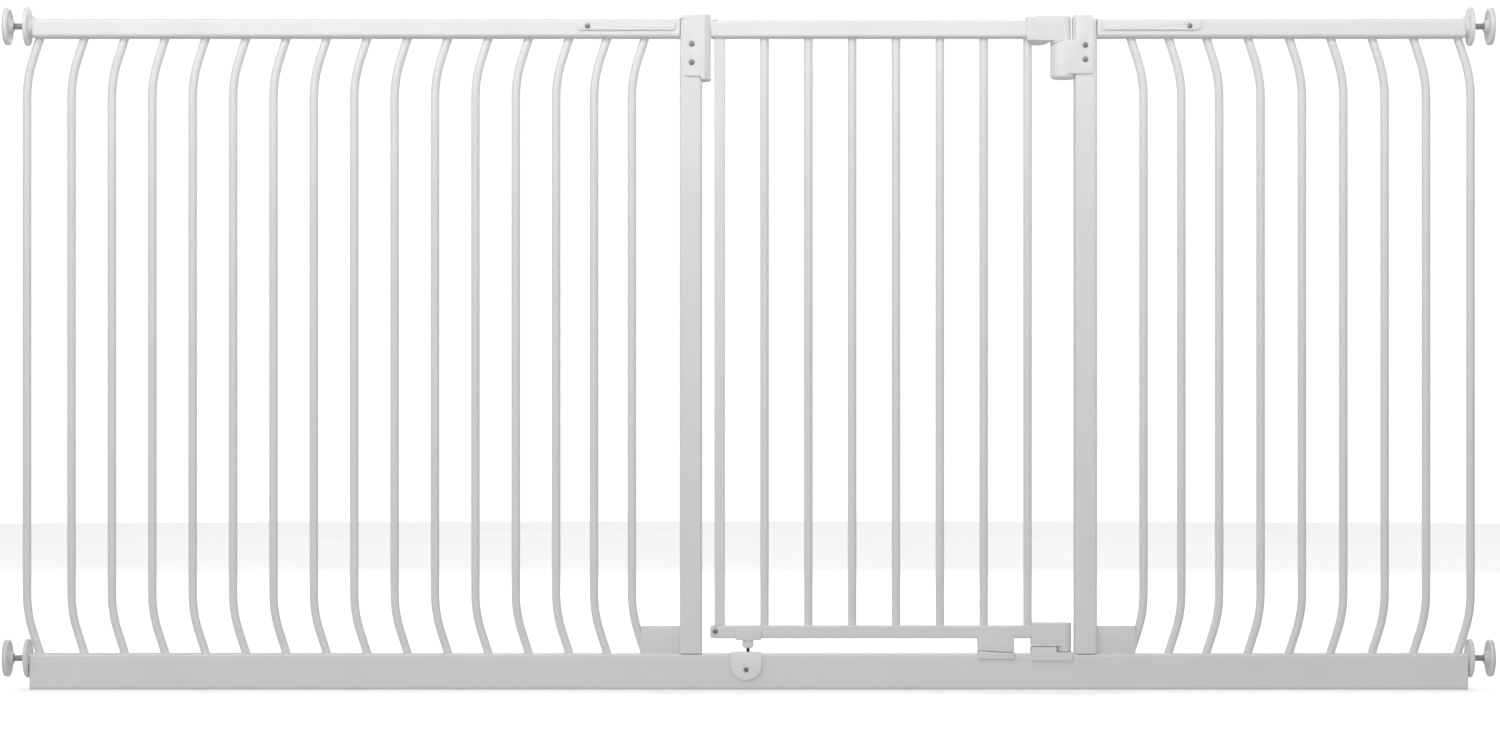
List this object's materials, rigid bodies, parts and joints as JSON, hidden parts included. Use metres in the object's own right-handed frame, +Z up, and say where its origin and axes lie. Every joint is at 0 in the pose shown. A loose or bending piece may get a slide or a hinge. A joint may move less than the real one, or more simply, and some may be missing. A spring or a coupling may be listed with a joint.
{
  "type": "safety baby gate",
  "caption": "Tall, wide pressure-fit child safety gate: white steel frame with bowed-bar side panels, a lift-and-swing door on a rising cam hinge, and screw-out wall pads with hand wheels.",
  "frame": {"origin": "midway between the two walls, in the middle of the gate's depth, at floor level under the bottom rail", "axes": "+X to the right across the opening, +Y away from the side the screws are on, towards which the door opens, +Z up"},
  "size_m": [2.29, 0.06, 1.05],
  "materials": {
    "painted_steel": "smooth white powder coat, satin gloss",
    "white_plastic": "moulded white plastic, fine satin texture",
    "milky_plastic": "milky translucent moulding",
    "acetal": "self-lubricating moulding, matt",
    "black_plastic": "black moulded plastic",
    "plated_steel": "bright zinc plate",
    "spring_steel": "drawn spring wire",
    "chrome_plate": "bright plated thread",
    "pad_rubber": "light grey soft rubber"
  },
  "bodies": {
    "frame": {"bottom_rail": "painted_steel", "latch_post": "painted_steel", "hinge_post": "painted_steel", "left_top_rail": "painted_steel", "right_top_rail": "painted_steel", "left_bars": "painted_steel", "right_bars": "painted_steel", "left_foot_gusset": "painted_steel", "right_foot_gusset": "painted_steel", "left_joint_plate": "painted_steel", "right_joint_plate": "painted_steel", "joint_plate_screws": "plated_steel", "latch_housing": "white_plastic", "latch_housing_screws": "plated_steel", "hinge_housing": "white_plastic", "hinge_housing_screws": "plated_steel", "lower_hinge_saddle": "white_plastic", "rail_support_block": "white_plastic", "pin_keeper": "milky_plastic", "pin_keeper_screw": "plated_steel", "top_left_end_plug": "white_plastic", "top_right_end_plug": "white_plastic", "bottom_left_end_plug": "white_plastic", "bottom_right_end_plug": "white_plastic"},
    "lower_pin": {"lower_hinge_pin": "plated_steel"},
    "cam_follower": {"upper_hinge_pin": "plated_steel", "cam_follower_ring": "acetal"},
    "door": {"door_top_rail": "painted_steel", "door_bottom_rail": "painted_steel", "door_stile": "painted_steel", "door_bars": "painted_steel", "upper_hinge_block": "white_plastic", "lower_hinge_block": "white_plastic", "door_support_block": "white_plastic", "latch_case": "white_plastic", "latch_spring": "spring_steel", "sill_end_cap": "white_plastic", "sill_end_screw": "plated_steel", "pin_carrier": "white_plastic", "pin_sleeve": "milky_plastic", "lock_pin_spring": "spring_steel"},
    "latch_slide_body": {"latch_slider": "white_plastic"},
    "lock_pin_body": {"lock_pin": "black_plastic"},
    "top_left_wheel": {"top_left_hand_wheel": "white_plastic"},
    "top_left_pad": {"top_left_spindle": "chrome_plate", "top_left_wall_pad": "white_plastic", "top_left_pad_rubber": "pad_rubber"},
    "top_right_wheel": {"top_right_hand_wheel": "white_plastic"},
    "top_right_pad": {"top_right_spindle": "chrome_plate", "top_right_wall_pad": "white_plastic", "top_right_pad_rubber": "pad_rubber"},
    "bottom_left_wheel": {"bottom_left_hand_wheel": "white_plastic"},
    "bottom_left_pad": {"bottom_left_spindle": "chrome_plate", "bottom_left_wall_pad": "white_plastic", "bottom_left_pad_rubber": "pad_rubber"},
    "bottom_right_wheel": {"bottom_right_hand_wheel": "white_plastic"},
    "bottom_right_pad": {"bottom_right_spindle": "chrome_plate", "bottom_right_wall_pad": "white_plastic", "bottom_right_pad_rubber": "pad_rubber"}
  },
  "joints": [
    {"name": "door_swing", "type": "hinge", "parent": "frame", "child": "lower_pin", "pos_m": [0.4843, 0, 0.5], "axis": [0, 0, -1], "range_deg": [0, 90]},
    {"name": "cam_rise", "type": "slide", "parent": "lower_pin", "child": "cam_follower", "axis": [0, 0, 1], "range_m": [0, 0.0101]},
    {"name": "door_lift", "type": "slide", "parent": "cam_follower", "child": "door", "axis": [0, 0, 1], "range_m": [0, 0.01]},
    {"name": "latch_pull", "type": "slide", "parent": "door", "child": "latch_slide_body", "axis": [1, 0, 0], "range_m": [0, 0.008], "stiffness_N_per_m": 250, "springref_m": -0.006, "deforming": ["latch_spring"]},
    {"name": "lock_pin_push", "type": "slide", "parent": "door", "child": "lock_pin_body", "axis": [0, 0, 1], "range_m": [0, 0.005], "stiffness_N_per_m": 300, "springref_m": -0.003, "deforming": ["lock_pin_spring"]},
    {"name": "top_left_wheel_turn", "type": "hinge", "parent": "frame", "child": "top_left_wheel", "pos_m": [-1.11, 0, 1.02], "axis": [1, 0, 0], "range_deg": [-2881, 3601]},
    {"name": "top_left_pad_travel", "type": "slide", "parent": "frame", "child": "top_left_pad", "axis": [-1, 0, 0], "range_m": [-0.012, 0.015]},
    {"name": "top_right_wheel_turn", "type": "hinge", "parent": "frame", "child": "top_right_wheel", "pos_m": [1.11, 0, 1.02], "axis": [-1, 0, 0], "range_deg": [-2881, 3601]},
    {"name": "top_right_pad_travel", "type": "slide", "parent": "frame", "child": "top_right_pad", "axis": [1, 0, 0], "range_m": [-0.012, 0.015]},
    {"name": "bottom_left_wheel_turn", "type": "hinge", "parent": "frame", "child": "bottom_left_wheel", "pos_m": [-1.11, 0, 0.0475], "axis": [1, 0, 0], "range_deg": [-2881, 3601]},
    {"name": "bottom_left_pad_travel", "type": "slide", "parent": "frame", "child": "bottom_left_pad", "axis": [-1, 0, 0], "range_m": [-0.012, 0.015]},
    {"name": "bottom_right_wheel_turn", "type": "hinge", "parent": "frame", "child": "bottom_right_wheel", "pos_m": [1.11, 0, 0.0475], "axis": [-1, 0, 0], "range_deg": [-2881, 3601]},
    {"name": "bottom_right_pad_travel", "type": "slide", "parent": "frame", "child": "bottom_right_pad", "axis": [1, 0, 0], "range_m": [-0.012, 0.015]}
  ],
  "couplings": [
    {"joint": "cam_rise", "follows": "door_swing", "m_per_rad": 0.0063662},
    {"joint": "top_left_wheel_turn", "follows": "top_left_pad_travel", "rad_per_m": 4188.8},
    {"joint": "top_right_wheel_turn", "follows": "top_right_pad_travel", "rad_per_m": 4188.8},
    {"joint": "bottom_left_wheel_turn", "follows": "bottom_left_pad_travel", "rad_per_m": 4188.8},
    {"joint": "bottom_right_wheel_turn", "follows": "bottom_right_pad_travel", "rad_per_m": 4188.8}
  ]
}
